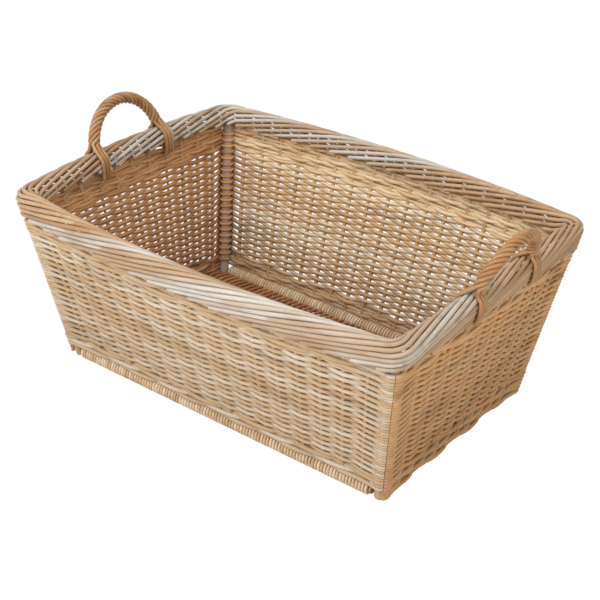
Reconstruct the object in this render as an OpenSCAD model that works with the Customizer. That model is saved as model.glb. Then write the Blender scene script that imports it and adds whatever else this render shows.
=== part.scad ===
// Rectangular willow basket with flared, bowed walls and two roped bow handles.
// X runs along the long sides, Y from front to back, Z up. The ground is z = 0, and the origin is
// under the middle of the basket. Lengths are millimetres.
// The wall line is the line that the upright stakes follow: it leans outwards and bows between posts.

/* [Overall] */
// Length of the wall line between the corners at the rim
rim_l = 600; // [560:5:640]
// Width of the wall line between the corners at the rim
rim_w = 424; // [384:4:464]
// Length of the wall line between the corners on the ground
base_l = 520; // [480:5:550]
// Width of the wall line between the corners on the ground
base_w = 316; // [280:4:350]
// Height of the rim above the ground
rim_h = 260; // [230:5:300]
// How far the long sides bow outwards at the rim
side_bow = 22; // [0:1:30]
// How far the short ends bow outwards at the rim
end_bow = 6; // [0:1:14]
// How far the border rises in the middle of the short ends
end_crown = 6; // [0:1:10]
// Radius of the corners, on the wall line
corner_r = 14; // [13:0.5:18]

/* [Uprights] */
// Diameter of the four corner posts
post_d = 15; // [12:0.5:16]
// Diameter of the upright stakes in the walls
stake_d = 6; // [4:0.5:7]
// Spaces between uprights along a long side
side_gaps = 18; // [14:1:20]
// Spaces between uprights along a short end
end_gaps = 12; // [10:2:14]

/* [Siding] */
// Thickness of the siding rods across the wall
rod_t = 3.6; // [2.8:0.1:4]
// Height of one siding rod
rod_h = 4.4; // [3.4:0.1:5]

/* [Wale] */
// Thickness of the waling rods across the wall
wale_t = 3.6; // [3:0.1:4]
// Height of one waling rod
wale_h = 5.3; // [4.4:0.1:6]
// Rows of wale at the foot of the long sides, and the ends have one more below them
foot_wale_rows = 3; // [2:1:4]
// Rows of wale under the border
top_wale_rows = 6; // [4:1:7]
// Height of the top wale's upper face, measured down from the rim
top_wale_drop = 26; // [24:1:30]

/* [Border] */
// Diameter of the rods rolled round the rim
border_d = 6; // [5:0.2:6.6]
// How far the border reaches down the outside of the wall
border_drop = 40; // [34:1:46]
// How far the border runs straight down the inside, below its rounded top
border_tuck = 10; // [6:1:14]

/* [Base] */
// Diameter of the thick stick along each long bottom edge
outer_stick_d = 12; // [9:0.5:14]
// Diameter of the sticks inside the floor
base_stick_d = 8; // [6:0.5:9]
// Number of sticks inside the floor
base_sticks = 7; // [3:1:7]
// Thickness of the rods that cross the floor
cross_t = 3.5; // [2.8:0.1:4]
// Width of the rods that cross the floor
cross_w = 5.2; // [3.6:0.1:6]
// How far the floor rises in the middle
base_crown = 4; // [0:1:8]

/* [Handles] */
// Spaces between uprights that a handle spans
handle_gaps = 4; // [4:2:6]
// Width between the middles of a handle's two feet
handle_w = 128; // [110:2:150]
// Diameter of the bow inside a handle
bow_d = 6.4; // [6:0.2:8]
// How far the top of a handle leans outwards
handle_lean = 20; // [8:1:26]
// Depth at which a handle's arch begins, measured down from the rim
handle_sink = 2; // [0:1:4]
// Depth to which the tails of the bow are pushed into the wall, measured down from the rim
tail_drop = 95; // [70:5:120]
// Number of rods roped round a bow
rope_strands = 6; // [4:1:6]
// Diameter of the rods roped round a bow
strand_d = 4; // [3:0.1:4.2]
// Turns that each rod makes on its way over the bow
rope_turns = 3.5; // [2.5:0.5:3.5]
// How far the tied ends run down the walls, measured from the rim
tie_drop = 36; // [26:1:40]

/* [Hidden] */

$fn = 24;
// Clearance where one rod seats on another
seat = 0.3;
// Sides of the walls, counted round from the front
FRONT = 0;
RIGHT = 1;
BACK = 2;
LEFT = 3;
// Angle trimmed off a rod's end where two walls meet in a corner
nip = 1.2;
// Sides of the border rods, and of the rods on the handles
rod_sides = 5;
strand_sides = 4;
// Steps round each turn of the roping
turn_steps = 8;
// Angle along a handle's arch at which the roping starts
rope_start = 16;
// Distance from the corner of the wall line to the middle of the border's curve on its inner face
inner_turn = 26;
// Level of the ground, and how deep the wrapped bottom edges are flattened where they stand on it
ground = 0;
stand = 0.4;

post_inset = corner_r * (1 - sqrt(0.5));
side_lean = (rim_w - base_w) / 2 / rim_h;
end_lean = (rim_l - base_l) / 2 / rim_h;
row_pitch = rod_h + seat;
wale_pitch = wale_h + seat;
roll_r = outer_stick_d / 2 + seat + cross_t;
roll_z = ground + roll_r - stand;
foot_z = roll_z + roll_r + seat;
siding_z = foot_z + foot_wale_rows * wale_pitch;
top_wale_top = rim_h - top_wale_drop;
top_wale_z = top_wale_top - top_wale_rows * wale_pitch;
siding_rows = floor((top_wale_z - siding_z) / row_pitch);
row_step = (top_wale_z - siding_z) / siding_rows;
wale_face = wave(stake_d, max(side_lean, end_lean) * wale_h, wale_t, rim_l / side_gaps) + 0.55 * wale_t;
arch_r = max(post_d / 2, wale_face) + seat + border_d / 2;
arch_z = rim_h - border_d / 2 - arch_r;
outer_run = border_drop - border_d - arch_r;
border_foot = arch_z - outer_run - border_d / 2 - seat;
border_pitch = border_d + 1;
border_path = outer_run + PI * arch_r + border_tuck;
stake_top = arch_z + arch_r - border_d / 2 - seat - 1;
all_gaps = 2 * (side_gaps + end_gaps);
handle_z = rim_h - handle_sink;
handle_r = handle_w / 2;
tilt = asin(handle_lean / handle_r);

function long_side(k) = k % 2 == 0;
function gaps(k) = long_side(k) ? side_gaps : end_gaps;
function half_l(z) = (base_l + (rim_l - base_l) * z / rim_h) / 2;
function half_w(z) = (base_w + (rim_w - base_w) * z / rim_h) / 2;
function reach(k, z) = long_side(k) ? half_l(z) : half_w(z);
function across(k, z) = long_side(k) ? half_w(z) : half_l(z);
function bulge(k, z) = (long_side(k) ? side_bow : end_bow) * z / rim_h;
function lean(k) = long_side(k) ? side_lean : end_lean;

// A point of wall k, s along it from its middle and n outwards from its wall line, at height z.
// Every wall is written as the front one and then turned to its side.
function wall(k, z, s, n) =
    let (bow = bulge(k, z) * max(0, 1 - pow(s / (reach(k, z) - corner_r), 2)))
    [s, -across(k, z) - bow - n, z];
function stake_s(k, z, i) = reach(k, z) * (2 * i / gaps(k) - 1);
function stake_at(k, z, i) = wall(k, z, stake_s(k, z, i), 0);
function post_at(sx, sy, z) = [sx * (half_l(z) - post_inset), sy * (half_w(z) - post_inset), z];
function turned(k, p) =
    k == FRONT ? p : turned(k - 1, [-p[1], p[0], p[2]]);

function unit(v) = v / norm(v);
function quarter(v) = [-v[1], v[0]];
function heading(path, i) = unit(path[min(i + 1, len(path) - 1)] - path[max(i - 1, 0)]);
function flat_point(p) = [p[0], p[1]];

// Sideways step at point i of a flat path that keeps a rod's faces one unit from its middle
function side_step(path, i) =
    let (
        before = quarter(unit(path[max(i, 1)] - path[max(i, 1) - 1])),
        after = quarter(unit(path[min(i + 1, len(path) - 1)] - path[min(i, len(path) - 2)])),
        mean = unit(before + after))
    mean / (mean * after);

// Outline of a rod of thickness t that follows a flat path
function ribbon(path, t) = concat(
    [for (i = [0 : len(path) - 1]) path[i] + t / 2 * side_step(path, i)],
    [for (i = [len(path) - 1 : -1 : 0]) path[i] - t / 2 * side_step(path, i)]);

// Distance from an upright's middle at which a rod turns as it passes it. The upright leans by
// slant over the rod's height, and the rod swings to the other side in one space.
function wave(d, slant, t, space) =
    let (w = (d + slant + t) / 2 + seat)
    w / cos(atan(2 * w / space));

// Path of one row along wall k: round the outside of both posts and, of each group of uprights
// counted by period, behind one and in front of the others. Rows under the border end at the posts.
function row_path(k, z, t, h, phase, period) =
    let (
        w = wave(stake_d, lean(k) * h, t, 2 * reach(k, z) / gaps(k)),
        r = (post_d / 2 + seat + norm([side_lean, end_lean]) * h / 2 + t / 2) / cos(16),
        sp = reach(k, z) - post_inset,
        yp = across(k, z) - post_inset,
        turn = z + h / 2 > border_foot ? [-20] : [-20, 12, 45 - nip])
    concat(
        [for (i = [len(turn) - 1 : -1 : 0]) [-sp - r * sin(turn[i]), -yp - r * cos(turn[i])]],
        [for (i = [1 : gaps(k) - 1])
            flat_point(wall(k, z, stake_s(k, z, i), (i + phase) % period == 0 ? -w : w))],
        [for (a = turn) [sp + r * sin(a), -yp - r * cos(a)]]);

// Place of a border rod: u counts spaces between uprights round the whole rim
function side_of(u) =
    u < side_gaps ? FRONT
    : u < side_gaps + end_gaps ? RIGHT
    : u < 2 * side_gaps + end_gaps ? BACK
    : LEFT;
function first_gap(k) = [0, side_gaps, side_gaps + end_gaps, 2 * side_gaps + end_gaps][k];
function crown(k, s, z) = long_side(k) ? 0 : end_crown * (1 - pow(s / reach(k, z), 2));
// The border turns each corner on a curve that is wider on its inner face
function rim_point(u, n, z) =
    let (
        k = side_of(u % all_gaps),
        s = stake_s(k, z, u % all_gaps - first_gap(k)),
        c = corner_r + (inner_turn - corner_r) * (arch_r - n) / (2 * arch_r),
        straight = reach(k, z) - c,
        past = max(0, abs(s) - straight),
        angle = 45 * past / c,
        bow = bulge(k, z) * max(0, 1 - pow(s / straight, 2)),
        up = [0, 0, crown(k, s, z)])
    turned(k, up + (past == 0
        ? [s, -across(k, z) - bow - n, z]
        : [sign(s) * (straight + (c + n) * sin(angle)), -across(k, z) + c - (c + n) * cos(angle), z]));

// Section of the border: p runs up the outside, over the rounded top and down the inside
function arch(p) =
    let (a = (p - outer_run) / arch_r * 180 / PI)
    p < outer_run ? [arch_r, arch_z - outer_run + p]
    : a < 180 ? [arch_r * cos(a), arch_z + arch_r * sin(a)]
    : [-arch_r, arch_z + outer_run + PI * arch_r - p];
function border_point(u, start) =
    let (a = arch((u - start) * border_pitch))
    rim_point(u, a[0], a[1]);
// Spaces at which a border rod gets a ring: each mid space but the second, and three round each post
function near_post(u) = len([for (k = [FRONT : LEFT]) if (abs(u % all_gaps - first_gap(k)) < 0.1) k]) > 0;
function border_stations(start) =
    let (last = start + border_path / border_pitch)
    concat(
        [for (u = [start : 1 : last - 0.2]) each (near_post(u + 0.5) && u + 0.9 < last
            ? [u, u + 0.25, u + 0.5, u + 0.75]
            : u == start + 1 ? [] : [u])],
        [last]);

function ring(path, i, d, sides) =
    let (
        t = heading(path, i),
        side = unit(cross(t, abs(t[2]) > 0.9 ? [0, 1, 0] : [0, 0, 1])),
        up = cross(side, t))
    [for (j = [0 : sides - 1])
        path[i] + d / 2 * (cos(360 * j / sides) * side + sin(360 * j / sides) * up)];

// Round rod of diameter d swept along a path in space
module swept_rod(path, d, sides) {
    n = len(path);
    points = [for (i = [0 : n - 1]) each ring(path, i, d, sides)];
    walls = [for (i = [0 : n - 2], j = [0 : sides - 1])
        let (a = i * sides + j, b = i * sides + (j + 1) % sides)
        each [[a, b, b + sides], [a, b + sides, a + sides]]];
    ends = [
        [for (j = [sides - 1 : -1 : 0]) j],
        [for (j = [0 : sides - 1]) (n - 1) * sides + j]];
    polyhedron(points, concat(walls, ends));
}

// Straight round rod from p to q
module rod(p, q, d1, d2) {
    v = q - p;
    translate(p)
        rotate([0, acos(v[2] / norm(v)), atan2(v[1], v[0])])
            cylinder(h = norm(v), d1 = d1, d2 = d2);
}

module post(sx, sy) {
    // Both ends are cut square, so half of each stands beyond the middle by tip
    slope = atan(norm([side_lean, end_lean]));
    tip = post_d / 2 * sin(slope);
    color("peru")
        rod(post_at(sx, sy, ground + tip), post_at(sx, sy, arch_z - seat - tip), post_d, post_d);
}

module base_edge_stick(side) {
    // The stick runs from post to post, clear of both where they lean in to the ground
    end = half_l(ground) - post_inset - post_d / 2 - seat;
    y = side * base_w / 2;
    color("peru") rod([-end, y, roll_z], [end, y, roll_z], outer_stick_d, outer_stick_d);
}

// Inner face of an end wall at its foot, where the floor stops
floor_end = half_l(foot_z - wale_pitch) - stake_d / 2 - seat - end_lean * wale_h / 2 - wale_t - seat;
function base_y(i) = base_w * (i / (base_sticks + 1) - 0.5);
function floor_z(y) = roll_z + base_crown * (1 - pow(2 * y / base_w, 2));

module base_stick(i) {
    if (i <= base_sticks) {
        y = base_y(i);
        color("sandybrown")
            rod([-floor_end, y, floor_z(y)], [floor_end, y, floor_z(y)], base_stick_d, base_stick_d);
    }
}

// One rod across the floor: over and under the sticks in turn, and round both edge sticks
module cross_rod(phase, wrapped) {
    w = wave(base_stick_d, 0, cross_t, base_w / (base_sticks + 1));
    inner = base_w / 2 - outer_stick_d / 2 - seat - cross_t / 2;
    end = wrapped ? inner : half_w(ground) - post_inset - post_d / 2 - 2 * seat;
    path = concat(
        [[-end, roll_z]],
        [for (i = [1 : base_sticks])
            [base_y(i), floor_z(base_y(i)) + ((i + phase) % 2 == 0 ? -w : w)]],
        [[end, roll_z]]);
    polygon(ribbon(path, cross_t));
    if (wrapped)
        for (side = [-1, 1])
            translate([side * base_w / 2, roll_z]) difference() {
                circle(r = roll_r);
                circle(r = outer_stick_d / 2 + seat);
                translate([-roll_r, -roll_z - roll_r]) square([2 * roll_r, roll_r]);
            }
}

module base_weave() {
    pitch = cross_w + seat;
    count = floor(2 * floor_end / pitch);
    wrap_end = half_l(ground) - post_inset - post_d / 2 - seat;
    for (i = [0 : count - 1]) {
        x = (i - (count - 1) / 2) * pitch;
        color("tan")
            translate([x - cross_w / 2, 0, 0]) rotate([90, 0, 90])
                linear_extrude(height = cross_w)
                    cross_rod(i, abs(x) + cross_w / 2 < wrap_end);
    }
}

function carries_handle(k, i) = !long_side(k) && abs(2 * i - end_gaps) == handle_gaps;
module stakes(k) {
    // Each end wall starts one row lower than the long walls
    low = (long_side(k) ? foot_z : foot_z - wale_pitch) + seat;
    for (i = [1 : gaps(k) - 1]) {
        high = carries_handle(k, i) ? rim_h - tail_drop - seat : stake_top;
        color("sandybrown") rotate(90 * k)
            rod(stake_at(k, low, i), stake_at(k, high, i), stake_d, stake_d);
    }
}

// One row of a wall, with its lower face at z
module row(k, z, t, h, phase, period) {
    rotate(90 * k) translate([0, 0, z]) linear_extrude(height = h)
        polygon(ribbon(row_path(k, z + h / 2, t, h, phase, period), t));
}

module siding(k) {
    color("burlywood")
        for (i = [0 : siding_rows - 1])
            row(k, siding_z + i * row_step, rod_t, rod_h, i, 2);
}

// Three-rod wale: each row passes in front of two uprights and behind one
module foot_wale(k) {
    color("tan")
        for (i = [long_side(k) ? 0 : -1 : foot_wale_rows - 1])
            row(k, foot_z + i * wale_pitch, wale_t, wale_h, i + 3, 3);
}

module top_wale(k) {
    color("tan")
        for (i = [0 : top_wale_rows - 1])
            row(k, top_wale_z + i * wale_pitch, wale_t, wale_h, i, 3);
}

// Rolled border: one rod from each space rises along the outside, goes over the rim and tucks inside
module border(k) {
    color("wheat") difference() {
        for (i = [first_gap(k) : first_gap(k) + gaps(k) - 1])
            let (stations = border_stations(i + 0.5))
            swept_rod([for (u = stations) border_point(u, i + 0.5)], border_d, rod_sides);
        for (j = [RIGHT, LEFT])
            rotate(90 * j) bow_arch(j, bow_d + 2 * seat);
    }
}

// Point of a handle on wall k: x along the wall, y up the handle and z outwards across it
function handle_point(k, p) = [
    p[0],
    -across(k, handle_z) - bulge(k, handle_z) - p[1] * sin(tilt) - p[2] * cos(tilt),
    handle_z + p[1] * cos(tilt) - p[2] * sin(tilt)];

// Bow with its thicker lower ends, which reach the top of the wale in the channel of an upright
module bow_arch(k, d) {
    leg_d = d + 0.8;
    translate(handle_point(k, [0, 0, 0])) rotate([90 + tilt, 0, 0])
        rotate_extrude(angle = 180) translate([handle_r, 0]) circle(d = d);
    for (side = [-1, 1]) {
        spring = handle_point(k, [side * handle_r, 0, 0]);
        foot = stake_at(k, top_wale_top + seat, gaps(k) / 2 + side * handle_gaps / 2);
        rod(foot, spring + 2 * unit(spring - foot), leg_d, leg_d);
    }
}

module handle_bow(k) {
    color("sandybrown") rotate(90 * k) {
        bow_arch(k, bow_d, $fn = 60);
        for (side = [-1, 1]) {
            i = gaps(k) / 2 + side * handle_gaps / 2;
            top = stake_at(k, top_wale_top + 2 * seat, i);
            rod(stake_at(k, rim_h - tail_drop, i), top, stake_d / 2, stake_d);
        }
    }
}

rope_r = (bow_d / 2 + seat + strand_d / 2) / cos(180 / turn_steps);
function rope_point(k, a, b) =
    let (out = handle_r + rope_r * cos(b))
    handle_point(k, [out * cos(a), out * sin(a), rope_r * sin(b)]);

module handle_rope(k) {
    steps = ceil(rope_turns * turn_steps);
    color("peru") rotate(90 * k)
        for (j = [0 : rope_strands - 1])
            let (path = [for (i = [0 : steps])
                rope_point(k, rope_start + (180 - 2 * rope_start) * i / steps,
                    -360 * (rope_turns * i / steps + j / rope_strands))])
            swept_rod(path, strand_d, strand_sides);
}

// Rods that leave the rope at each foot and run down both faces of the border
module handle_ties(k) {
    r = arch_r + border_d / 2 + seat + strand_d / 2;
    color("peru") rotate(90 * k)
        for (foot = [-1, 1], face = [-1, 1], e = [-1, 0, 1]) {
            s = foot * handle_r + e * (strand_d + 2 * seat);
            rise = crown(k, s, handle_z);
            start = rope_point(k, foot > 0 ? rope_start - 1 : 181 - rope_start,
                face * (90 - 50 * e * foot));
            path = concat(
                [start],
                [for (a = [54, 28, 0])
                    wall(k, arch_z + r * sin(a), s, face * r * cos(a)) + [0, 0, rise]],
                [wall(k, rim_h - tie_drop, s, face * r) + [0, 0, rise]]);
            swept_rod(path, strand_d, strand_sides);
        }
}

post(-1, -1);  // post_front_left
post(1, -1);  // post_front_right
post(-1, 1);  // post_back_left
post(1, 1);  // post_back_right
base_edge_stick(-1);  // base_stick_front
base_edge_stick(1);  // base_stick_back
base_stick(1);  // base_stick_1
base_stick(2);  // base_stick_2
base_stick(3);  // base_stick_3
base_stick(4);  // base_stick_4
base_stick(5);  // base_stick_5
base_stick(6);  // base_stick_6
base_stick(7);  // base_stick_7
base_weave();
stakes(FRONT);  // stakes_front
stakes(RIGHT);  // stakes_right
stakes(BACK);  // stakes_back
stakes(LEFT);  // stakes_left
foot_wale(FRONT);  // foot_wale_front
foot_wale(RIGHT);  // foot_wale_right
foot_wale(BACK);  // foot_wale_back
foot_wale(LEFT);  // foot_wale_left
siding(FRONT);  // siding_front
siding(RIGHT);  // siding_right
siding(BACK);  // siding_back
siding(LEFT);  // siding_left
top_wale(FRONT);  // top_wale_front
top_wale(RIGHT);  // top_wale_right
top_wale(BACK);  // top_wale_back
top_wale(LEFT);  // top_wale_left
border(FRONT);  // border_front
border(RIGHT);  // border_right
border(BACK);  // border_back
border(LEFT);  // border_left
handle_bow(RIGHT);  // handle_bow_right
handle_bow(LEFT);  // handle_bow_left
handle_rope(RIGHT);  // handle_rope_right
handle_rope(LEFT);  // handle_rope_left
handle_ties(RIGHT);  // handle_ties_right
handle_ties(LEFT);  // handle_ties_left
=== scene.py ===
"""Looks of the willow garden basket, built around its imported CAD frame.

Every woven rod is a smooth round curve that follows the same wall surface as the CAD part, so the
weave, wale, border, floor and handles stay where the frame has them. Sizes are written in
millimetres and turned into metres where a mesh is made.
"""

import logging
import math
import random
from dataclasses import dataclass
from enum import Enum
from typing import Iterable, Sequence

import bmesh
import bpy
from mathutils import Matrix, Vector


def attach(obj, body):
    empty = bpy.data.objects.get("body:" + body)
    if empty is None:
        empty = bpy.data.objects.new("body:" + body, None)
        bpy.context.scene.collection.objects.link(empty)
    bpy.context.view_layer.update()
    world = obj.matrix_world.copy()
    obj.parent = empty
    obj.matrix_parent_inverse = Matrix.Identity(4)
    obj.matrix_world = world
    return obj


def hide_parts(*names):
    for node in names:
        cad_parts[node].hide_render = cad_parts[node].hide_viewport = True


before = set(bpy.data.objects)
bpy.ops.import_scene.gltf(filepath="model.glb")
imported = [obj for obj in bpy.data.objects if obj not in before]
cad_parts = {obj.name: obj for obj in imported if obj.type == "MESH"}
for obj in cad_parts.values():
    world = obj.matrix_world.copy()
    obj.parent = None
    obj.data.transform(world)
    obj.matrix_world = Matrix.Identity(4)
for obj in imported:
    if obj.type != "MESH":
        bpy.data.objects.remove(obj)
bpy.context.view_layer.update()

log = logging.getLogger("basket")
logging.basicConfig(level=logging.INFO, format="%(message)s")

MM = 0.001
IMAGE_PX = 600
SENSOR_MM = 36.0

Rgb = tuple[float, float, float]
Socket = bpy.types.NodeSocket


class Side(Enum):
    """Walls of the basket, counted round from the front."""

    FRONT = 0
    RIGHT = 1
    BACK = 2
    LEFT = 3

    @property
    def is_long(self) -> bool:
        """Whether this is one of the two long walls."""
        return self.value % 2 == 0


@dataclass(frozen=True)
class BasketSize:
    """Sizes of the whole basket, in millimetres."""

    rim_l: float = 600.0
    rim_w: float = 424.0
    base_l: float = 520.0
    base_w: float = 316.0
    rim_h: float = 260.0
    side_bow: float = 22.0
    end_bow: float = 6.0
    end_crown: float = 6.0
    corner_r: float = 14.0
    inner_turn: float = 26.0
    post_d: float = 15.0
    stake_d: float = 6.0
    side_gaps: int = 18
    end_gaps: int = 12

    @property
    def post_inset(self) -> float:
        """Distance of a post's axis from both wall lines."""
        return self.corner_r * (1 - math.sqrt(0.5))

    @property
    def all_gaps(self) -> int:
        """Spaces between uprights round the whole rim."""
        return 2 * (self.side_gaps + self.end_gaps)


@dataclass(frozen=True)
class Finish:
    """Look of the rods of one part: one willow painted paler or darker for the light on that part.

    Colours are linear RGB. Along scales the grain and is small where the rods run. The last
    field is painted shade: how much the low parts are darkened towards the dark colour.
    """

    name: str
    pale: Rgb
    warm: Rgb
    dark: Rgb
    along: tuple[float, float, float] = (1.0, 1.0, 1.0)
    roughness: float = 0.5
    soil: float = 0.35


class Walls:
    """The leaning, bowed surface that the uprights follow, as in the CAD part."""

    def __init__(self, size: BasketSize) -> None:
        self.size = size

    def gaps(self, side: Side) -> int:
        """Spaces between uprights along a wall."""
        return self.size.side_gaps if side.is_long else self.size.end_gaps

    def half_l(self, z: float) -> float:
        """Half length of the wall line at height z."""
        s = self.size
        return (s.base_l + (s.rim_l - s.base_l) * z / s.rim_h) / 2

    def half_w(self, z: float) -> float:
        """Half width of the wall line at height z."""
        s = self.size
        return (s.base_w + (s.rim_w - s.base_w) * z / s.rim_h) / 2

    def reach(self, side: Side, z: float) -> float:
        """Half length of one wall at height z."""
        return self.half_l(z) if side.is_long else self.half_w(z)

    def across(self, side: Side, z: float) -> float:
        """Distance of one wall from the middle at height z."""
        return self.half_w(z) if side.is_long else self.half_l(z)

    def bulge(self, side: Side, z: float) -> float:
        """How far the middle of a wall bows outwards at height z."""
        bow = self.size.side_bow if side.is_long else self.size.end_bow
        return bow * z / self.size.rim_h

    def stake_s(self, side: Side, z: float, u: float) -> float:
        """Place along a wall of upright number u."""
        return self.reach(side, z) * (2 * u / self.gaps(side) - 1)

    def point(
        self, side: Side, z: float, s: float, n: float, corner: float | None = None
    ) -> Vector:
        """Point of a wall before it is turned to its side.

        Args:
            side: the wall.
            z: height.
            s: distance along the wall from its middle.
            n: distance outwards from the wall line.
            corner: distance from the corner at which the bow ends.

        Returns:
            The point, with the wall drawn as the front one.
        """
        straight = self.reach(side, z) - (self.size.corner_r if corner is None else corner)
        bow = self.bulge(side, z) * max(0.0, 1 - (s / straight) ** 2)
        return Vector((s, -self.across(side, z) - bow - n, z))

    def crown(self, side: Side, s: float, z: float) -> float:
        """How far the border is raised at a place along a wall.

        Args:
            side: the wall.
            s: distance along the wall from its middle.
            z: height.

        Returns:
            The rise, which only the short ends have.
        """
        if side.is_long:
            return 0.0
        return self.size.end_crown * (1 - (s / self.reach(side, z)) ** 2)

    @staticmethod
    def turned(side: Side, point: Vector) -> Vector:
        """A point of the front wall, turned to another wall."""
        return Matrix.Rotation(math.radians(90 * side.value), 3, "Z") @ point

    def side_of(self, u: float) -> tuple[Side, float]:
        """Find the wall that a place round the rim is on.

        Args:
            u: place round the rim, in spaces between uprights.

        Returns:
            The wall, and the place counted from that wall's start.
        """
        u = u % self.size.all_gaps
        for side in Side:
            if u < self.gaps(side):
                return side, u
            u -= self.gaps(side)
        return Side.FRONT, 0.0


@dataclass
class RodPath:
    """One rod: its middle line in millimetres and its radius at every point."""

    points: list[Vector]
    radii: list[float]


def smooth(points: Sequence[Vector], steps: int) -> list[Vector]:
    """Pass a Catmull-Rom curve through points.

    Args:
        points: the points to pass through.
        steps: pieces between two neighbours.

    Returns:
        The points of the curve, ends included.
    """
    out: list[Vector] = []
    last = len(points) - 1
    for i in range(last):
        p0, p1 = points[max(i - 1, 0)], points[i]
        p2, p3 = points[i + 1], points[min(i + 2, last)]
        for j in range(steps):
            t = j / steps
            out.append(
                0.5
                * (
                    2 * p1
                    + (p2 - p0) * t
                    + (2 * p0 - 5 * p1 + 4 * p2 - p3) * t**2
                    + (3 * p1 - p0 - 3 * p2 + p3) * t**3
                )
            )
    out.append(points[last].copy())
    return out


class RodMaker:
    """Turns rod paths into one mesh piece with tone and length attributes on its points."""

    def __init__(self, seed: int) -> None:
        self.rng = random.Random(seed)

    def path(self, points: list[Vector], radius: float, taper: float = 1.0) -> RodPath:
        """Give a middle line its radius.

        Args:
            points: middle line in millimetres.
            radius: radius at the butt end.
            taper: radius at the tip as a share of that at the butt.

        Returns:
            The rod's path, with slight swellings as willow has.
        """
        count = len(points)
        phase = self.rng.uniform(0, math.tau)
        knots = self.rng.uniform(0.02, 0.05)
        radii = []
        for i in range(count):
            t = i / max(count - 1, 1)
            swelling = 1 + knots * math.sin(phase + t * 9)
            radii.append(radius * (1 + (taper - 1) * t) * swelling)
        return RodPath(points, radii)

    def piece(self, name: str, rods: Iterable[RodPath], resolution: int = 1) -> bpy.types.Object:
        """Sweep round rods along their paths and join them in one piece.

        Args:
            name: the piece's name.
            rods: the rods' paths.
            resolution: bevel resolution of the curve; a rod has 4 + 2 * resolution sides.

        Returns:
            The finished mesh object.
        """
        rods = list(rods)
        curve = bpy.data.curves.new(name + "_line", "CURVE")
        curve.dimensions = "3D"
        curve.bevel_depth = 1.0
        curve.bevel_resolution = resolution
        curve.use_fill_caps = True
        for rod in rods:
            spline = curve.splines.new("POLY")
            spline.points.add(len(rod.points) - 1)
            flat = [c for p in rod.points for c in (p.x * MM, p.y * MM, p.z * MM, 1.0)]
            spline.points.foreach_set("co", flat)
            spline.points.foreach_set("radius", [r * MM for r in rod.radii])
            spline.use_smooth = True
        line = bpy.data.objects.new(name + "_line", curve)
        bpy.context.scene.collection.objects.link(line)
        bpy.context.view_layer.update()
        swept = line.evaluated_get(bpy.context.evaluated_depsgraph_get())
        mesh = bpy.data.meshes.new_from_object(swept)
        bpy.data.objects.remove(line)
        bpy.data.curves.remove(curve)
        mesh.name = name
        piece = bpy.data.objects.new(name, mesh)
        bpy.context.scene.collection.objects.link(piece)
        self._mark(mesh, rods)
        log.info("%s: %d rods, %d faces", name, len(rods), len(mesh.polygons))
        return piece

    def _mark(self, mesh: bpy.types.Mesh, rods: Sequence[RodPath]) -> None:
        """Write each rod's tone, and the distance along it, to the mesh's points.

        Args:
            mesh: the swept mesh, whose points follow the rods' points in order.
            rods: the rods it was swept from.
        """
        rings = sum(len(rod.points) for rod in rods)
        sides = len(mesh.vertices) // rings
        tones: list[float] = []
        lengths: list[float] = []
        for rod in rods:
            tone = self.rng.random()
            run = self.rng.uniform(0, 3)
            previous = rod.points[0]
            for point in rod.points:
                run += (point - previous).length * MM
                previous = point
                tones.extend([tone] * sides)
                lengths.extend([run] * sides)
        missing = len(mesh.vertices) - len(tones)
        tones.extend([0.5] * missing)
        lengths.extend([0.0] * missing)
        for label, values in (("tone", tones), ("run", lengths)):
            mesh.attributes.new(label, "FLOAT", "POINT").data.foreach_set(
                "value", values[: len(mesh.vertices)]
            )
        mesh.polygons.foreach_set("use_smooth", [True] * len(mesh.polygons))


class SkinNodes:
    """Adds the few kinds of node that the look of willow is built from."""

    def __init__(self, tree: bpy.types.NodeTree) -> None:
        self.nodes = tree.nodes
        self.links = tree.links

    def noise(self, vector: Socket, scale: float, detail: float) -> Socket:
        """Add noise.

        Args:
            vector: where it is read.
            scale: its fineness.
            detail: number of finer layers.

        Returns:
            The noise, about 0.5 in the middle.
        """
        node = self.nodes.new("ShaderNodeTexNoise")
        node.inputs["Scale"].default_value = scale
        node.inputs["Detail"].default_value = detail
        self.links.new(vector, node.inputs["Vector"])
        return node.outputs["Fac"]

    def ramp(self, value: Socket, low: float, high: float) -> Socket:
        """Stretch a value.

        Args:
            value: the value.
            low: what becomes 0.
            high: what becomes 1.

        Returns:
            The value between 0 and 1.
        """
        node = self.nodes.new("ShaderNodeMapRange")
        node.inputs["From Min"].default_value = low
        node.inputs["From Max"].default_value = high
        self.links.new(value, node.inputs["Value"])
        return node.outputs["Result"]

    def math(self, kind: str, a: Socket, b: Socket | float) -> Socket:
        """Add or multiply.

        Args:
            kind: the operation's name.
            a: first value.
            b: second value, linked or a plain number.

        Returns:
            The result.
        """
        node = self.nodes.new("ShaderNodeMath")
        node.operation = kind
        self.links.new(a, node.inputs[0])
        if isinstance(b, float):
            node.inputs[1].default_value = b
        else:
            self.links.new(b, node.inputs[1])
        return node.outputs[0]

    def blend(self, factor: Socket, a: Socket, b: Socket) -> Socket:
        """Mix two colours.

        Args:
            factor: share of the second colour.
            a: first colour.
            b: second colour.

        Returns:
            The mixed colour.
        """
        node = self.nodes.new("ShaderNodeMix")
        node.data_type = "RGBA"
        self.links.new(factor, node.inputs["Factor"])
        self.links.new(a, node.inputs[6])
        self.links.new(b, node.inputs[7])
        return node.outputs[2]


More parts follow.
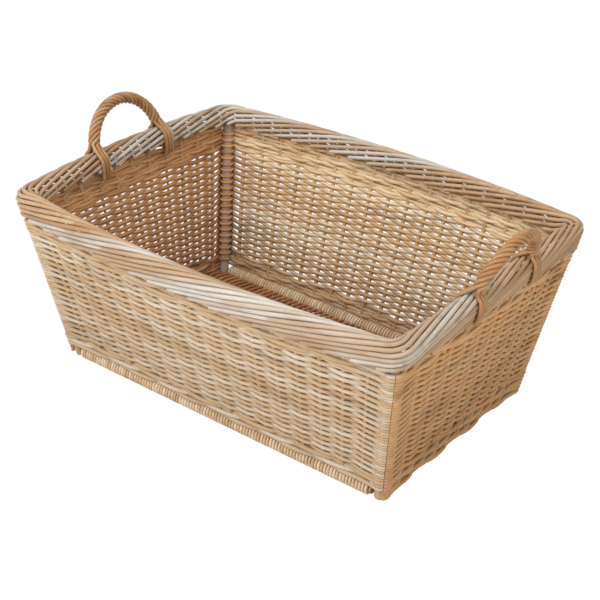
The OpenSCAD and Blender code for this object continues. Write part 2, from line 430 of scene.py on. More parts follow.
class WillowShader:
    """Materials of peeled willow, built from one shared node group."""

    GRAIN_SCALE = 260.0
    STREAK_SCALE = 60.0
    PATCH_SCALE = 9.0
    SPECK_SCALE = 420.0
    TONE_SHARE = 0.75
    PATCH_SHARE = 0.4
    STREAK_SHARE = 0.75
    GRAIN_SHARE = 0.35
    SPECK_SHARE = 0.55
    LOW_SHADE_TOP = 0.2
    ROUGH_GRAIN = 0.22
    SPECULAR = 0.35
    RELIEF = 0.35
    RELIEF_DEPTH = 0.0006
    INPUTS = {
        "Pale": "NodeSocketColor",
        "Warm": "NodeSocketColor",
        "Dark": "NodeSocketColor",
        "Along": "NodeSocketVector",
        "Tone": "NodeSocketFloat",
        "Soil": "NodeSocketFloat",
        "Roughness": "NodeSocketFloat",
    }
    OUTPUTS = {
        "Color": "NodeSocketColor",
        "Roughness": "NodeSocketFloat",
        "Height": "NodeSocketFloat",
    }

    def __init__(self) -> None:
        self.group = self._group()

    def _group(self) -> bpy.types.NodeTree:
        """Build the group that gives willow its colour, roughness and relief.

        Returns:
            The node group.
        """
        group = bpy.data.node_groups.new("willow_skin", "ShaderNodeTree")
        for way, sockets in (("INPUT", self.INPUTS), ("OUTPUT", self.OUTPUTS)):
            for name, kind in sockets.items():
                group.interface.new_socket(name=name, in_out=way, socket_type=kind)
        add = SkinNodes(group)
        given = add.nodes.new("NodeGroupInput").outputs
        put = add.nodes.new("NodeGroupOutput").inputs
        place = add.nodes.new("ShaderNodeTexCoord").outputs["Object"]
        stretched = add.nodes.new("ShaderNodeVectorMath")
        stretched.operation = "MULTIPLY"
        add.links.new(place, stretched.inputs[0])
        add.links.new(given["Along"], stretched.inputs[1])
        split = add.nodes.new("ShaderNodeSeparateXYZ")
        add.links.new(place, split.inputs[0])

        grain = add.noise(stretched.outputs[0], self.GRAIN_SCALE, 3.0)
        streak = add.noise(stretched.outputs[0], self.STREAK_SCALE, 2.0)
        patch = add.noise(place, self.PATCH_SCALE, 2.0)
        speck = add.noise(place, self.SPECK_SCALE, 2.0)
        tone = add.math("MULTIPLY", given["Tone"], self.TONE_SHARE)
        warmth = add.math("ADD", tone, add.math("MULTIPLY", patch, self.PATCH_SHARE))
        color = add.blend(add.ramp(warmth, 0.24, 0.86), given["Pale"], given["Warm"])
        for mask, share in (
            (add.ramp(streak, 0.52, 0.8), self.STREAK_SHARE),
            (add.ramp(grain, 0.5, 0.85), self.GRAIN_SHARE),
            (add.ramp(speck, 0.66, 0.74), self.SPECK_SHARE),
            # Painted shade: the low parts are darkened towards the dark colour, fully at the ground
            # and not above 0.2 m.
            (add.ramp(split.outputs["Z"], self.LOW_SHADE_TOP, 0.0), given["Soil"]),
        ):
            color = add.blend(add.math("MULTIPLY", mask, share), color, given["Dark"])

        rough = add.math("MULTIPLY", grain, self.ROUGH_GRAIN)
        height = add.math("MULTIPLY", grain, 0.7)
        add.links.new(color, put["Color"])
        add.links.new(add.math("ADD", given["Roughness"], rough), put["Roughness"])
        add.links.new(add.math("ADD", height, add.math("MULTIPLY", streak, 0.5)), put["Height"])
        return group

    def material(self, finish: Finish) -> bpy.types.Material:
        """Find or make the material of one finish.

        Args:
            finish: colours and directions of the rods.

        Returns:
            The material, with its constants on its own sockets.
        """
        made = bpy.data.materials.get(finish.name)
        if made:
            return made
        material = bpy.data.materials.new(finish.name)
        material.use_nodes = True
        nodes, links = material.node_tree.nodes, material.node_tree.links
        shader = nodes["Principled BSDF"]
        shader.inputs["Specular IOR Level"].default_value = self.SPECULAR
        skin = nodes.new("ShaderNodeGroup")
        skin.node_tree = self.group
        skin.inputs["Pale"].default_value = (*finish.pale, 1.0)
        skin.inputs["Warm"].default_value = (*finish.warm, 1.0)
        skin.inputs["Dark"].default_value = (*finish.dark, 1.0)
        skin.inputs["Along"].default_value = finish.along
        skin.inputs["Soil"].default_value = finish.soil
        skin.inputs["Roughness"].default_value = finish.roughness
        tone = nodes.new("ShaderNodeAttribute")
        tone.attribute_name = "tone"
        bump = nodes.new("ShaderNodeBump")
        bump.inputs["Strength"].default_value = self.RELIEF
        bump.inputs["Distance"].default_value = self.RELIEF_DEPTH
        links.new(tone.outputs["Fac"], skin.inputs["Tone"])
        links.new(skin.outputs["Color"], shader.inputs["Base Color"])
        links.new(skin.outputs["Roughness"], shader.inputs["Roughness"])
        links.new(skin.outputs["Height"], bump.inputs["Height"])
        links.new(bump.outputs["Normal"], shader.inputs["Normal"])
        return material


# BARK and SHADE are the dark colours of grain marks and specks, and also of the painted shade low
# down.
STRAW = (0.515, 0.45, 0.355)
CREAM = (0.46, 0.43, 0.38)
HONEY = (0.52, 0.28, 0.11)
BARK = (0.17, 0.085, 0.04)
SHADE = (0.24, 0.14, 0.075)
ALONG_X = (0.12, 1.0, 1.0)
ALONG_Y = (1.0, 0.12, 1.0)
ALONG_Z = (1.0, 1.0, 0.12)

# Lit and shaded copies of one willow: the front wall's outside and the back wall's inside face the
# key light and are painted paler; the right wall's outside and the left wall's inside are painted
# darker and warmer, as shade.
FRONT_LIT_FINISH = Finish("willow_front_lit", STRAW, (0.43, 0.29, 0.16), SHADE, ALONG_X, soil=0.32)
RIGHT_SHADED_FINISH = Finish("willow_right_shaded", (0.52, 0.33, 0.17), HONEY, BARK, ALONG_Y, soil=0.3)
BACK_LIT_FINISH = Finish(
    "willow_back_lit", (0.66, 0.53, 0.35), (0.51, 0.32, 0.15), SHADE, ALONG_X, soil=0.55
)
LEFT_SHADED_FINISH = Finish(
    "willow_left_shaded", (0.63, 0.35, 0.155), (0.48, 0.235, 0.095), BARK, ALONG_Y, soil=0.5
)
# The border is one willow painted twice: paler and creamier on the long sides as lit, darker and
# browner on the ends as shade.
BORDER_LIT_FINISH = Finish("willow_lit_border", CREAM, (0.37, 0.25, 0.145), SHADE, ALONG_X, 0.42, 0.0)
END_BORDER_SHADED_FINISH = Finish(
    "willow_end_border_shaded", (0.42, 0.29, 0.175), (0.35, 0.19, 0.09), SHADE, ALONG_Y, 0.42, 0.0
)
# The floor's cross rods are one willow painted twice: darker and redder inside the basket as
# painted shade, paler where they turn round the bottom edges outside as painted light.
FLOOR_SHADED_FINISH = Finish(
    "willow_floor_shaded", (0.49, 0.24, 0.10), (0.33, 0.13, 0.05), BARK, ALONG_Y, soil=0.25
)
EDGE_LIT_FINISH = Finish(
    "willow_edge_lit", (0.59, 0.48, 0.35), (0.50, 0.33, 0.18), SHADE, ALONG_Y, soil=0.0
)
POST_FINISH = Finish(
    "willow_post", (0.47, 0.385, 0.30), (0.41, 0.245, 0.12), BARK, ALONG_Z, soil=0.2
)
HANDLE_FINISH = Finish(
    "willow_handle", (0.37, 0.23, 0.11), (0.34, 0.16, 0.06), BARK, (1.0, 1.0, 1.0), 0.4, 0.0
)
STAKE_FINISH = Finish("willow_stake", (0.48, 0.30, 0.15), (0.36, 0.19, 0.08), BARK, ALONG_Z)

# The copy of the willow, painted lit or shaded, that each wall takes.
SIDE_LIGHT_FINISH = {
    Side.FRONT: FRONT_LIT_FINISH,
    Side.RIGHT: RIGHT_SHADED_FINISH,
    Side.BACK: BACK_LIT_FINISH,
    Side.LEFT: LEFT_SHADED_FINISH,
}


class WovenPart:
    """A woven part of the basket: pieces that replace CAD nodes of the same name."""

    def __init__(self, walls: Walls, shader: WillowShader) -> None:
        self.walls = walls
        self.size = walls.size
        self.shader = shader

    def settle(
        self, piece: bpy.types.Object, finish: Finish, slot: str, nodes: Sequence[str]
    ) -> bpy.types.Object:
        """Give a piece its material, hang it on the root body and hide the CAD nodes it replaces.

        Args:
            piece: the piece.
            finish: its finish.
            slot: not used.
            nodes: CAD nodes it replaces.

        Returns:
            The same piece.
        """
        piece.data.materials.clear()
        piece.data.materials.append(self.shader.material(finish))
        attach(piece, "root")
        if nodes:
            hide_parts(*nodes)
        return piece


@dataclass(frozen=True)
class RowSize:
    """One kind of row in the walls, in millimetres."""

    height: float
    period: int
    slope: float
    fill: float
    post_turn: tuple[float, ...] = (-24.0, -4.0, 18.0, 45.0)

    @property
    def radius(self) -> float:
        """Radius of the round rod that fills the row."""
        return self.height / 2 * self.fill


class WallRows(WovenPart):
    """Rows of rods in the four walls: siding, and the wale below and above it."""

    SIDING = RowSize(4.3, 2, 0.0, 1.2)
    WALE = RowSize(5.2, 3, 0.5, 1.2)
    FOOT_Z = 20.9
    FOOT_ROWS = 3
    TOP_Z = 234.0
    TOP_ROWS = 6
    WALE_PITCH = 5.6
    SIDING_ROWS = 36
    BORDER_FOOT = 219.4
    PRESSED = 2.4
    UNEVEN = 0.25
    CORE_R = 2.0
    CORE_STEPS = 6
    END_ROWS = 3

    def row(self, side: Side, z: float, row: RowSize, phase: int, maker: RodMaker) -> RodPath:
        """One row of a wall.

        Args:
            side: the wall.
            z: height of the row's middle.
            row: the kind of row.
            phase: number that decides which uprights the row passes behind.
            maker: the maker of this piece's rods.

        Returns:
            The row's path, from one post to the other.
        """
        size, walls = self.size, self.walls
        swing = size.stake_d / 2 + row.radius - self.PRESSED
        sp = walls.reach(side, z) - size.post_inset
        yp = walls.across(side, z) - size.post_inset
        r = size.post_d / 2 + row.radius
        turns = row.post_turn if z < self.BORDER_FOOT else row.post_turn[:1]
        ends = []
        for turn in turns:
            a = math.radians(turn)
            ends.append(Vector((r * math.sin(a), -yp - r * math.cos(a), z)))
        line = [Vector((-sp - p.x, p.y, z)) for p in reversed(ends)]
        for i in range(1, walls.gaps(side)):
            step = (i + phase) % row.period
            n = -swing if step == 0 else swing
            if row.slope:
                rise = row.slope * (step - row.period / 2)
            else:
                rise = maker.rng.uniform(-self.UNEVEN, self.UNEVEN)
            line.append(walls.point(side, z, walls.stake_s(side, z, i), n) + Vector((0, 0, rise)))
        line += [Vector((sp + p.x, p.y, z)) for p in ends]
        points = [walls.turned(side, p) for p in smooth(line, 4)]
        return maker.path(points, row.radius * maker.rng.uniform(0.93, 1.02))

    def core(self, side: Side, z: float, maker: RodMaker) -> RodPath:
        """A plain rod between two rows of wale, hidden among the uprights, that closes the gaps.

        Args:
            side: the wall.
            z: its height.
            maker: the maker of this piece's rods.

        Returns:
            The rod's path, from one post to the other.
        """
        walls = self.walls
        reach = walls.reach(side, z) - self.size.post_inset
        line = []
        for i in range(2 * self.CORE_STEPS + 1):
            point = walls.point(side, z, reach * (i / self.CORE_STEPS - 1), 0.0)
            line.append(walls.turned(side, point))
        return maker.path(line, self.CORE_R)

    def build(self) -> None:
        """Make the rows of all four walls."""
        half = self.SIDING.height / 2
        wale_half = self.WALE.height / 2
        pitch = self.WALE_PITCH
        top_wale_z = self.TOP_Z - self.TOP_ROWS * pitch
        siding_z = self.FOOT_Z + self.FOOT_ROWS * pitch
        step = (top_wale_z - siding_z) / self.SIDING_ROWS
        for side in Side:
            word = side.name.lower()
            maker = RodMaker(10 + side.value)
            # Each wall takes the copy of the willow painted lit or shaded for its side.
            finish = SIDE_LIGHT_FINISH[side]
            lowest = 0 if side.is_long else -self.END_ROWS
            rows = []
            for i in range(self.SIDING_ROWS):
                rows.append(self.row(side, siding_z + i * step + half, self.SIDING, i, maker))
            piece = maker.piece("siding_rods_" + word, rows)
            self.settle(piece, finish, "siding", ["siding_" + word])
            for place, start, numbers, shift in (
                ("foot", self.FOOT_Z, range(lowest, self.FOOT_ROWS), 3),
                ("top", top_wale_z, range(self.TOP_ROWS), 0),
            ):
                rows = []
                for i in numbers:
                    z = start + i * pitch + wale_half
                    rows.append(self.row(side, z, self.WALE, i + shift, maker))
                rows += [self.core(side, start + i * pitch, maker) for i in numbers]
                piece = maker.piece(f"{place}_wale_rods_{word}", rows)
                self.settle(piece, finish, "wale", [f"{place}_wale_{word}"])


class Posts(WovenPart):
    """Corner posts, and the rods that bind their inner faces in every second row."""

    TOP_Z = 243.6
    TIP = 1.9
    STEPS = 24
    SWELL = 0.012
    SWELL_WAVE = 0.11
    BAND_STEP = 9.0
    BAND_LOW = 30.0
    BAND_HIGH = 226.0
    BAND_UNEVEN = 0.4
    BAND_R = 2.5
    BAND_SEAT = 2.0
    BAND_REACH = 112
    BAND_STEPS = 10

    def axis(self, sx: int, sy: int, z: float) -> Vector:
        """Point on the axis of a post, which sx and sy name by the signs of its x and y."""
        inset = self.size.post_inset
        return Vector((sx * (self.walls.half_l(z) - inset), sy * (self.walls.half_w(z) - inset), z))

    def build(self) -> None:
        """Make the four posts and their inner bands."""
        for sx, sy in ((-1, -1), (1, -1), (-1, 1), (1, 1)):
            word = f"{'front' if sy < 0 else 'back'}_{'left' if sx < 0 else 'right'}"
            maker = RodMaker(40 + 2 * sx + sy)
            rod = RodPath([], [])
            for i in range(self.STEPS + 1):
                z = self.TIP + (self.TOP_Z - self.TIP) * i / self.STEPS
                swelling = 1 - self.SWELL * math.sin(z * self.SWELL_WAVE)
                rod.points.append(self.axis(sx, sy, z))
                rod.radii.append(self.size.post_d / 2 * swelling)
            post = maker.piece("post_rod_" + word, [rod], resolution=6)
            self.settle(post, POST_FINISH, "post", ["post_" + word])
            bands = []
            z = self.BAND_LOW
            while z < self.BAND_HIGH:
                uneven = maker.rng.uniform(-self.BAND_UNEVEN, self.BAND_UNEVEN)
                bands.append(self.band(sx, sy, z + uneven, maker))
                z += self.BAND_STEP
            piece = maker.piece("post_bands_" + word, bands)
            # The bands on the posts' inner faces take the left wall's copy, painted in shade.
            self.settle(piece, LEFT_SHADED_FINISH, "siding", [])

    def band(self, sx: int, sy: int, z: float, maker: RodMaker) -> RodPath:
        """A rod that passes round the inner face of a post.

        Args:
            sx: sign of the post's x.
            sy: sign of the post's y.
            z: height of the rod.
            maker: the maker of this piece's rods.

        Returns:
            The rod's path.
        """
        r = self.size.post_d / 2 + self.BAND_SEAT
        centre = self.axis(sx, sy, z)
        inward = Vector((-sx, -sy, 0)).normalized()
        sideways = Vector((inward.y, -inward.x, 0))
        points = []
        for i in range(self.BAND_STEPS + 1):
            turn = -self.BAND_REACH + 2 * self.BAND_REACH * i / self.BAND_STEPS
            angle = math.radians(turn)
            points.append(centre + r * (math.cos(angle) * inward + math.sin(angle) * sideways))
        return maker.path(points, self.BAND_R)


class Border(WovenPart):
    """Rods rolled round the rim, one from each space between uprights."""

    ROD_D = 6.2
    PITCH = 7.0
    DROP = 40.0
    TUCK = 10.0
    ARCH_R = 11.24
    CAD_D = 6.0
    STEP = 0.2
    UNEVEN = 0.2
    TAPER = 0.9

    def arch(self, p: float) -> tuple[float, float]:
        """Follow the border's section.

        Args:
            p: distance along it, from its foot outside over the rim.

        Returns:
            Distance out from the wall line, and height.
        """
        arch_z = self.size.rim_h - self.CAD_D / 2 - self.ARCH_R
        outer = self.DROP - self.CAD_D - self.ARCH_R
        a = (p - outer) / self.ARCH_R
        if a < 0:
            return self.ARCH_R, arch_z - outer + p
        if a < math.pi:
            return self.ARCH_R * math.cos(a), arch_z + self.ARCH_R * math.sin(a)
        return -self.ARCH_R, arch_z + outer + math.pi * self.ARCH_R - p

    def rim_point(self, u: float, n: float, z: float) -> Vector:
        """Point of the rim, on its rounded corners too.

        Args:
            u: place round the rim, in spaces between uprights.
            n: distance outwards from the wall line.
            z: height before the ends' rise.

        Returns:
            The point.
        """
        walls, size = self.walls, self.size
        side, place = walls.side_of(u)
        s = walls.stake_s(side, z, place)
        wider = size.inner_turn - size.corner_r
        c = size.corner_r + wider * (self.ARCH_R - n) / (2 * self.ARCH_R)
        straight = walls.reach(side, z) - c
        past = abs(s) - straight
        up = Vector((0, 0, walls.crown(side, s, z)))
        if past <= 0:
            return walls.turned(side, walls.point(side, z, s, n, c) + up)
        angle = math.pi / 4 * past / c
        x = math.copysign(straight + (c + n) * math.sin(angle), s)
        y = -walls.across(side, z) + c - (c + n) * math.cos(angle)
        return walls.turned(side, Vector((x, y, z)) + up)

    def rod(self, start: float, maker: RodMaker) -> RodPath:
        """One rod of the border.

        Args:
            start: place round the rim where it comes out of the wall.
            maker: the maker of this piece's rods.

        Returns:
            The rod's path.
        """
        outer = self.DROP - self.CAD_D - self.ARCH_R
        length = (outer + math.pi * self.ARCH_R + self.TUCK) / self.PITCH
        count = round(length / self.STEP)
        lift = maker.rng.uniform(-self.UNEVEN, self.UNEVEN)
        points = []
        for i in range(count + 1):
            u = start + length * i / count
            n, z = self.arch((u - start) * self.PITCH)
            points.append(self.rim_point(u, n, z + lift))
        return maker.path(points, self.ROD_D / 2 * maker.rng.uniform(0.95, 1.03), self.TAPER)

    def build(self) -> None:
        """Make the border of all four walls."""
        first = 0
        for side in Side:
            word = side.name.lower()
            maker = RodMaker(70 + side.value)
            gaps = self.walls.gaps(side)
            rods = [self.rod(first + i + 0.5, maker) for i in range(gaps)]
            first += gaps
            # The long sides take the border painted lit, the ends the border painted in shade.
            finish = BORDER_LIT_FINISH if side.is_long else END_BORDER_SHADED_FINISH
            piece = maker.piece("border_rods_" + word, rods, resolution=2)
            self.settle(piece, finish, "border", ["border_" + word])


class Floor(WovenPart):
    """Cross rods over and under the floor's sticks and round both bottom edges."""

    ROLL_R = 10.5
    ROLL_Z = 10.5
    STICKS = 7
    STICK_R = 4.0
    CROWN = 4.0
    ROD_R = 2.35
    PITCH = 4.8
    COUNT = 106
    WRAP_END = 248.0
    PLAIN_END = 12.5
    PRESSED = 1.6
    RING_STEPS = 24

    def ring(self, x: float, edge: int) -> list[Vector]:
        """Turn of a cross rod round one bottom edge, from its inner side over the top and back.

        Args:
            x: place of the cross rod.
            edge: -1 at the front, 1 at the back.

        Returns:
            The turn's middle line.
        """
        r = self.ROLL_R - self.ROD_R - 0.05
        line = []
        for step in range(self.RING_STEPS + 1):
            angle = math.radians(180 - 360 / self.RING_STEPS * step)
            y = edge * (self.size.base_w / 2 + r * math.cos(angle))
            line.append(Vector((x, y, self.ROLL_Z + r * math.sin(angle))))
        return line

    def strip(self, i: int, x: float, wrapped: bool) -> list[Vector]:
        """The part of a cross rod between the two bottom edges, over and under the sticks.

        Args:
            i: number of the rod, which decides the sticks it passes over.
            x: its place.
            wrapped: whether it goes on round the edges.

        Returns:
            Its middle line.
        """
        size = self.size
        end = size.base_w / 2 - (self.ROLL_R - self.ROD_R if wrapped else self.PLAIN_END)
        swing = self.STICK_R + self.ROD_R - self.PRESSED
        line = [Vector((x, -end, self.ROLL_Z))]
        for k in range(1, self.STICKS + 1):
            y = size.base_w * (k / (self.STICKS + 1) - 0.5)
            middle = self.ROLL_Z + self.CROWN * (1 - (2 * y / size.base_w) ** 2)
            height = middle + (-swing if (k + i) % 2 == 0 else swing)
            line.append(Vector((x, y, height)))
        line.append(Vector((x, end, self.ROLL_Z)))
        return smooth(line, 5)

    def build(self) -> None:
        """Make the floor's cross rods and the turns round both bottom edges."""
        maker = RodMaker(5)
        strips: list[RodPath] = []
        rings: dict[int, list[RodPath]] = {-1: [], 1: []}
        for i in range(self.COUNT):
            x = (i - (self.COUNT - 1) / 2) * self.PITCH
            radius = self.ROD_R * maker.rng.uniform(0.93, 1.02)
            wrapped = abs(x) + self.PITCH / 2 < self.WRAP_END
            strips.append(maker.path(self.strip(i, x, wrapped), radius))
            if wrapped:
                for edge, turns in rings.items():
                    turns.append(maker.path(self.ring(x, edge), radius))
        # The cross rods take the copy painted in shade, their turns round both edges the lit copy.
        floor = maker.piece("floor_rods", strips)
        self.settle(floor, FLOOR_SHADED_FINISH, "base_weave", ["base_weave"])
        for edge, word in ((-1, "front"), (1, "back")):
            roll = maker.piece("edge_turns_" + word, rings[edge])
            self.settle(roll, EDGE_LIT_FINISH, "base_weave", ["base_weave"])


class Handle(WovenPart):
    """One bow handle: rods roped round the bow, whose ends run down both faces of the border."""

    WIDTH = 128.0
    LEAN = 20.0
    SINK = 2.0
    STRANDS = 6
    STRAND_R = 2.65
    ROPE_R = 5.9
    TURNS = 3.5
    START = 14.0
    TIE_R = 16.7
    TIE_DROP = 37.0
    TIE_GAP = 0.2
    TIE_PRESS = 0.2
    TIE_TUCK = 3.5
    TIE_TURNS = (60, 34, 8)
    FIRST_TURN = 30
    STEPS = 44

    def plane_point(self, side: Side, x: float, y: float, z: float) -> Vector:
        """Point of a handle.

        Args:
            side: the wall that carries it.
            x: distance along the wall.
            y: distance up the handle.
            z: distance outwards across it.

        Returns:
            The point, with the wall drawn as the front one.
        """
        walls, size = self.walls, self.size
        height = size.rim_h - self.SINK
        tilt = math.asin(self.LEAN / (self.WIDTH / 2))
        out = -walls.across(side, height) - walls.bulge(side, height)
        return Vector(
            (
                x,
                out - y * math.sin(tilt) - z * math.cos(tilt),
                height + y * math.cos(tilt) - z * math.sin(tilt),
            )
        )

    def rope_point(self, side: Side, a: float, b: float) -> Vector:
        """Point on the rope round a handle's bow.

        Args:
            side: the wall that carries the handle.
            a: angle along the arch, in degrees.
            b: angle round the bow, in degrees.

        Returns:
            The point, with the wall drawn as the front one.
        """
        out = self.WIDTH / 2 + self.ROPE_R * math.cos(math.radians(b))
        turn = math.radians(a)
        across = self.ROPE_R * math.sin(math.radians(b))
        return self.plane_point(side, out * math.cos(turn), out * math.sin(turn), across)

    def tie(self, side: Side, foot: int, b: float) -> list[Vector]:
        """Rod end from the roping down a face of the border.

        Args:
            side: the wall that carries the handle.
            foot: 1 or -1, the handle's foot.
            b: angle round the bow at which the roping ends, in degrees.

        Returns:
            The rod end's middle line, top first.
        """
        walls = self.walls
        face = 1 if math.sin(math.radians(b)) > 0 else -1
        widest = math.cos(math.radians(self.FIRST_TURN))
        spread = round(math.cos(math.radians(b)) / widest) * foot
        s = foot * self.WIDTH / 2 + spread * (2 * self.STRAND_R + self.TIE_GAP)
        arch_z = self.size.rim_h - Border.CAD_D / 2 - Border.ARCH_R
        rise = walls.crown(side, s, self.size.rim_h)
        line = []
        for turn in self.TIE_TURNS:
            angle = math.radians(turn)
            height = arch_z + self.TIE_R * math.sin(angle)
            point = walls.point(side, height, s, face * self.TIE_R * math.cos(angle))
            line.append(point + Vector((0, 0, rise)))
        low = self.size.rim_h - self.TIE_DROP + rise
        middle = (arch_z + low) / 2
        line.append(walls.point(side, middle, s, face * (self.TIE_R - self.TIE_PRESS)))
        line.append(walls.point(side, low, s, face * (self.TIE_R - self.TIE_TUCK)))
        return line

    def strand(self, side: Side, number: int, maker: RodMaker) -> RodPath:
        """One of a handle's rods, from tie to tie.

        Args:
            side: the wall that carries the handle.
            number: which of its rods.
            maker: the maker of this piece's rods.

        Returns:
            The rod's path.
        """
        first = self.FIRST_TURN + 360 * number / self.STRANDS
        last = first - 360 * self.TURNS
        line = list(reversed(self.tie(side, 1, first)))
        for i in range(self.STEPS + 1):
            t = i / self.STEPS
            along = self.START + (180 - 2 * self.START) * t
            line.append(self.rope_point(side, along, first + (last - first) * t))
        line += self.tie(side, -1, last)
        points = [self.walls.turned(side, p) for p in smooth(line, 2)]
        return maker.path(points, self.STRAND_R * maker.rng.uniform(0.92, 1.0))

    def build(self) -> None:
        """Make both handles."""
        for side in (Side.RIGHT, Side.LEFT):
            word = side.name.lower()
            maker = RodMaker(90 + side.value)
            rods = [self.strand(side, number, maker) for number in range(self.STRANDS)]
            piece = maker.piece("handle_rods_" + word, rods, resolution=2)
            nodes = ["handle_rope_" + word, "handle_ties_" + word]
            self.settle(piece, HANDLE_FINISH, "handle", nodes)


class KeptNodes:
    """CAD nodes that keep their shape and only get their material."""

    FINISHES = {
        "stakes": STAKE_FINISH,
        "base_stick": STAKE_FINISH,
        "handle_bow": HANDLE_FINISH,
    }

    def __init__(self, shader: WillowShader) -> None:
        self.shader = shader

    def build(self) -> None:
        """Dress the kept nodes."""
        for name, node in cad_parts.items():
            for start, finish in self.FINISHES.items():
                if name.startswith(start):
                    node.data.materials.clear()
                    node.data.materials.append(self.shader.material(finish))


@dataclass(frozen=True)
class PhotoCamera:
    """Camera solved on the photograph, in degrees, millimetres and pixels of its 600 px frame."""

    azimuth: float = -36.172
    elevation: float = 29.126
    roll: float = 2.566
    distance: float = 1933.06
    target: tuple[float, float, float] = (-5.917, 34.847, 100.0)
    focal_px: float = 1400.57
    centre_px: tuple[float, float] = (306.753, 299.517)

    def build(self) -> None:
        """Set up the scene's camera."""
        az, el, roll = (math.radians(v) for v in (self.azimuth, self.elevation, self.roll))
        forward = Vector((math.sin(az) * math.cos(el), math.cos(az) * math.cos(el), -math.sin(el)))
        right = Vector((math.cos(az), -math.sin(az), 0))
        up = right.cross(forward)
        right, up = (
            math.cos(roll) * right + math.sin(roll) * up,
            -math.sin(roll) * right + math.cos(roll) * up,
        )
        data = bpy.data.cameras.new("photo_camera")
        data.sensor_width = SENSOR_MM
        data.lens = self.focal_px / IMAGE_PX * SENSOR_MM
        data.shift_x = (IMAGE_PX / 2 - self.centre_px[0]) / IMAGE_PX
        data.shift_y = (self.centre_px[1] - IMAGE_PX / 2) / IMAGE_PX
        data.clip_end = 100
        camera = bpy.data.objects.new("photo_camera", data)
        turn = Matrix((right, up, -forward)).transposed().to_4x4()
        place = (Vector(self.target) - forward * self.distance) * MM
        camera.matrix_world = Matrix.Translation(place) @ turn
        bpy.context.scene.collection.objects.link(camera)
        bpy.context.scene.camera = camera


@dataclass(frozen=True)
class Lamp:
    """One soft studio light."""

    name: str
    place: tuple[float, float, float]
    width: float
    power: float
    color: Rgb = (1.0, 1.0, 1.0)


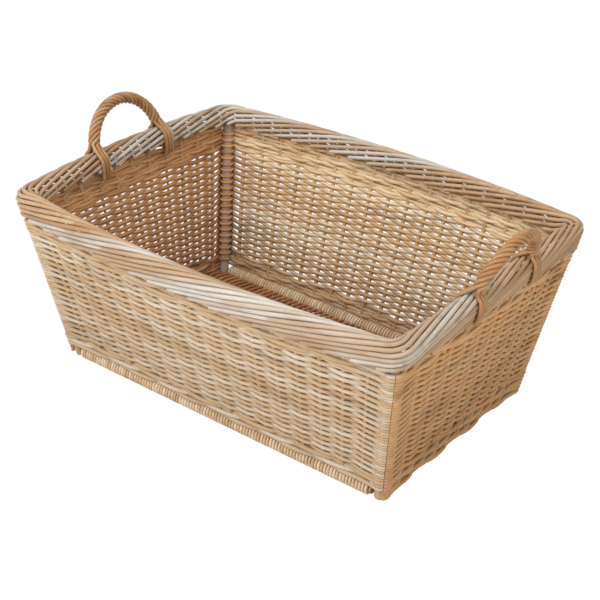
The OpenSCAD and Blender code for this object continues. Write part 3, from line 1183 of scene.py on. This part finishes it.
class Studio:
    """White floor and background, and soft light that comes mostly from the front."""

    LAMPS = (
        Lamp("key", (-0.7, -2.6, 2.1), 1.6, 92.0, (1.0, 0.985, 0.96)),
        Lamp("fill", (2.4, -0.8, 1.6), 1.6, 26.0, (1.0, 0.95, 0.88)),
        Lamp("top", (0.0, 0.2, 3.0), 1.8, 26.0),
    )
    AMBIENT = 0.62
    FLOOR_SIZE = (12.0, 12.0)
    FLOOR_Z = -0.0005
    FLOOR_COLOR = (0.8, 0.79, 0.77, 1)
    # A brown rectangle under the basket, painted as its shadow.
    SHADE_SIZE = (0.49, 0.29)
    SHADE_Z = -0.0003
    SHADE_COLOR = (0.22, 0.13, 0.07, 1)
    AIM = (0, 0, 0.12)

    def build(self) -> None:
        """Make the background, the floor and the lamps."""
        scene = bpy.context.scene
        scene.view_settings.view_transform = "Standard"
        self._world(scene)
        self._floor(scene)
        self._shade(scene)
        for lamp in self.LAMPS:
            self._lamp(scene, lamp)

    def _world(self, scene: bpy.types.Scene) -> None:
        """White to the camera, and a softer grey that lights the basket."""
        world = bpy.data.worlds.new("studio")
        world.use_nodes = True
        nodes, links = world.node_tree.nodes, world.node_tree.links
        soft = nodes["Background"]
        soft.inputs["Color"].default_value = (1, 1, 1, 1)
        soft.inputs["Strength"].default_value = self.AMBIENT
        white = nodes.new("ShaderNodeBackground")
        white.inputs["Color"].default_value = (1, 1, 1, 1)
        seen = nodes.new("ShaderNodeLightPath")
        mix = nodes.new("ShaderNodeMixShader")
        links.new(seen.outputs["Is Camera Ray"], mix.inputs[0])
        links.new(soft.outputs[0], mix.inputs[1])
        links.new(white.outputs[0], mix.inputs[2])
        links.new(mix.outputs[0], nodes["World Output"].inputs[0])
        scene.world = world

    def _plane(
        self, scene: bpy.types.Scene, name: str, size: tuple[float, float], z: float
    ) -> bpy.types.Material:
        """Lay one flat rectangle that isn't part of the basket.

        Args:
            scene: the scene.
            name: name of the rectangle and its material.
            size: its length and width.
            z: its height.

        Returns:
            Its material, with nodes and still plain.
        """
        grid = bmesh.new()
        bmesh.ops.create_grid(grid, x_segments=1, y_segments=1, size=0.5)
        bmesh.ops.scale(grid, vec=(*size, 1), verts=grid.verts)
        mesh = bpy.data.meshes.new(name)
        grid.to_mesh(mesh)
        grid.free()
        plane = bpy.data.objects.new(name, mesh)
        plane.location.z = z
        scene.collection.objects.link(plane)
        material = bpy.data.materials.new(name)
        material.use_nodes = True
        mesh.materials.append(material)
        return material

    def _floor(self, scene: bpy.types.Scene) -> None:
        """A pale floor that the camera sees as plain white, as in the photograph."""
        material = self._plane(scene, "studio_floor", self.FLOOR_SIZE, self.FLOOR_Z)
        nodes, links = material.node_tree.nodes, material.node_tree.links
        paint = nodes["Principled BSDF"]
        paint.inputs["Base Color"].default_value = self.FLOOR_COLOR
        paint.inputs["Roughness"].default_value = 0.9
        white = nodes.new("ShaderNodeEmission")
        seen = nodes.new("ShaderNodeLightPath")
        mix = nodes.new("ShaderNodeMixShader")
        links.new(seen.outputs["Is Camera Ray"], mix.inputs[0])
        links.new(paint.outputs[0], mix.inputs[1])
        links.new(white.outputs[0], mix.inputs[2])
        links.new(mix.outputs[0], nodes["Material Output"].inputs[0])

    def _shade(self, scene: bpy.types.Scene) -> None:
        """Painted shadow: a brown rectangle under the basket, so the ground there isn't white."""
        material = self._plane(scene, "studio_shade", self.SHADE_SIZE, self.SHADE_Z)
        paint = material.node_tree.nodes["Principled BSDF"]
        paint.inputs["Base Color"].default_value = self.SHADE_COLOR

    def _lamp(self, scene: bpy.types.Scene, lamp: Lamp) -> None:
        """Hang one area light that faces the basket."""
        data = bpy.data.lights.new(lamp.name, "AREA")
        data.size = lamp.width
        data.energy = lamp.power
        data.color = lamp.color
        light = bpy.data.objects.new(lamp.name, data)
        light.location = lamp.place
        aim = Vector(self.AIM) - Vector(lamp.place)
        light.rotation_euler = aim.to_track_quat("-Z", "Y").to_euler()
        scene.collection.objects.link(light)


def main() -> None:
    """Build the camera, the studio and every piece of the basket."""
    PhotoCamera().build()
    Studio().build()
    walls = Walls(BasketSize())
    shader = WillowShader()
    WallRows(walls, shader).build()
    Posts(walls, shader).build()
    Border(walls, shader).build()
    Floor(walls, shader).build()
    Handle(walls, shader).build()
    KeptNodes(shader).build()


if __name__ == "__main__":
    main()
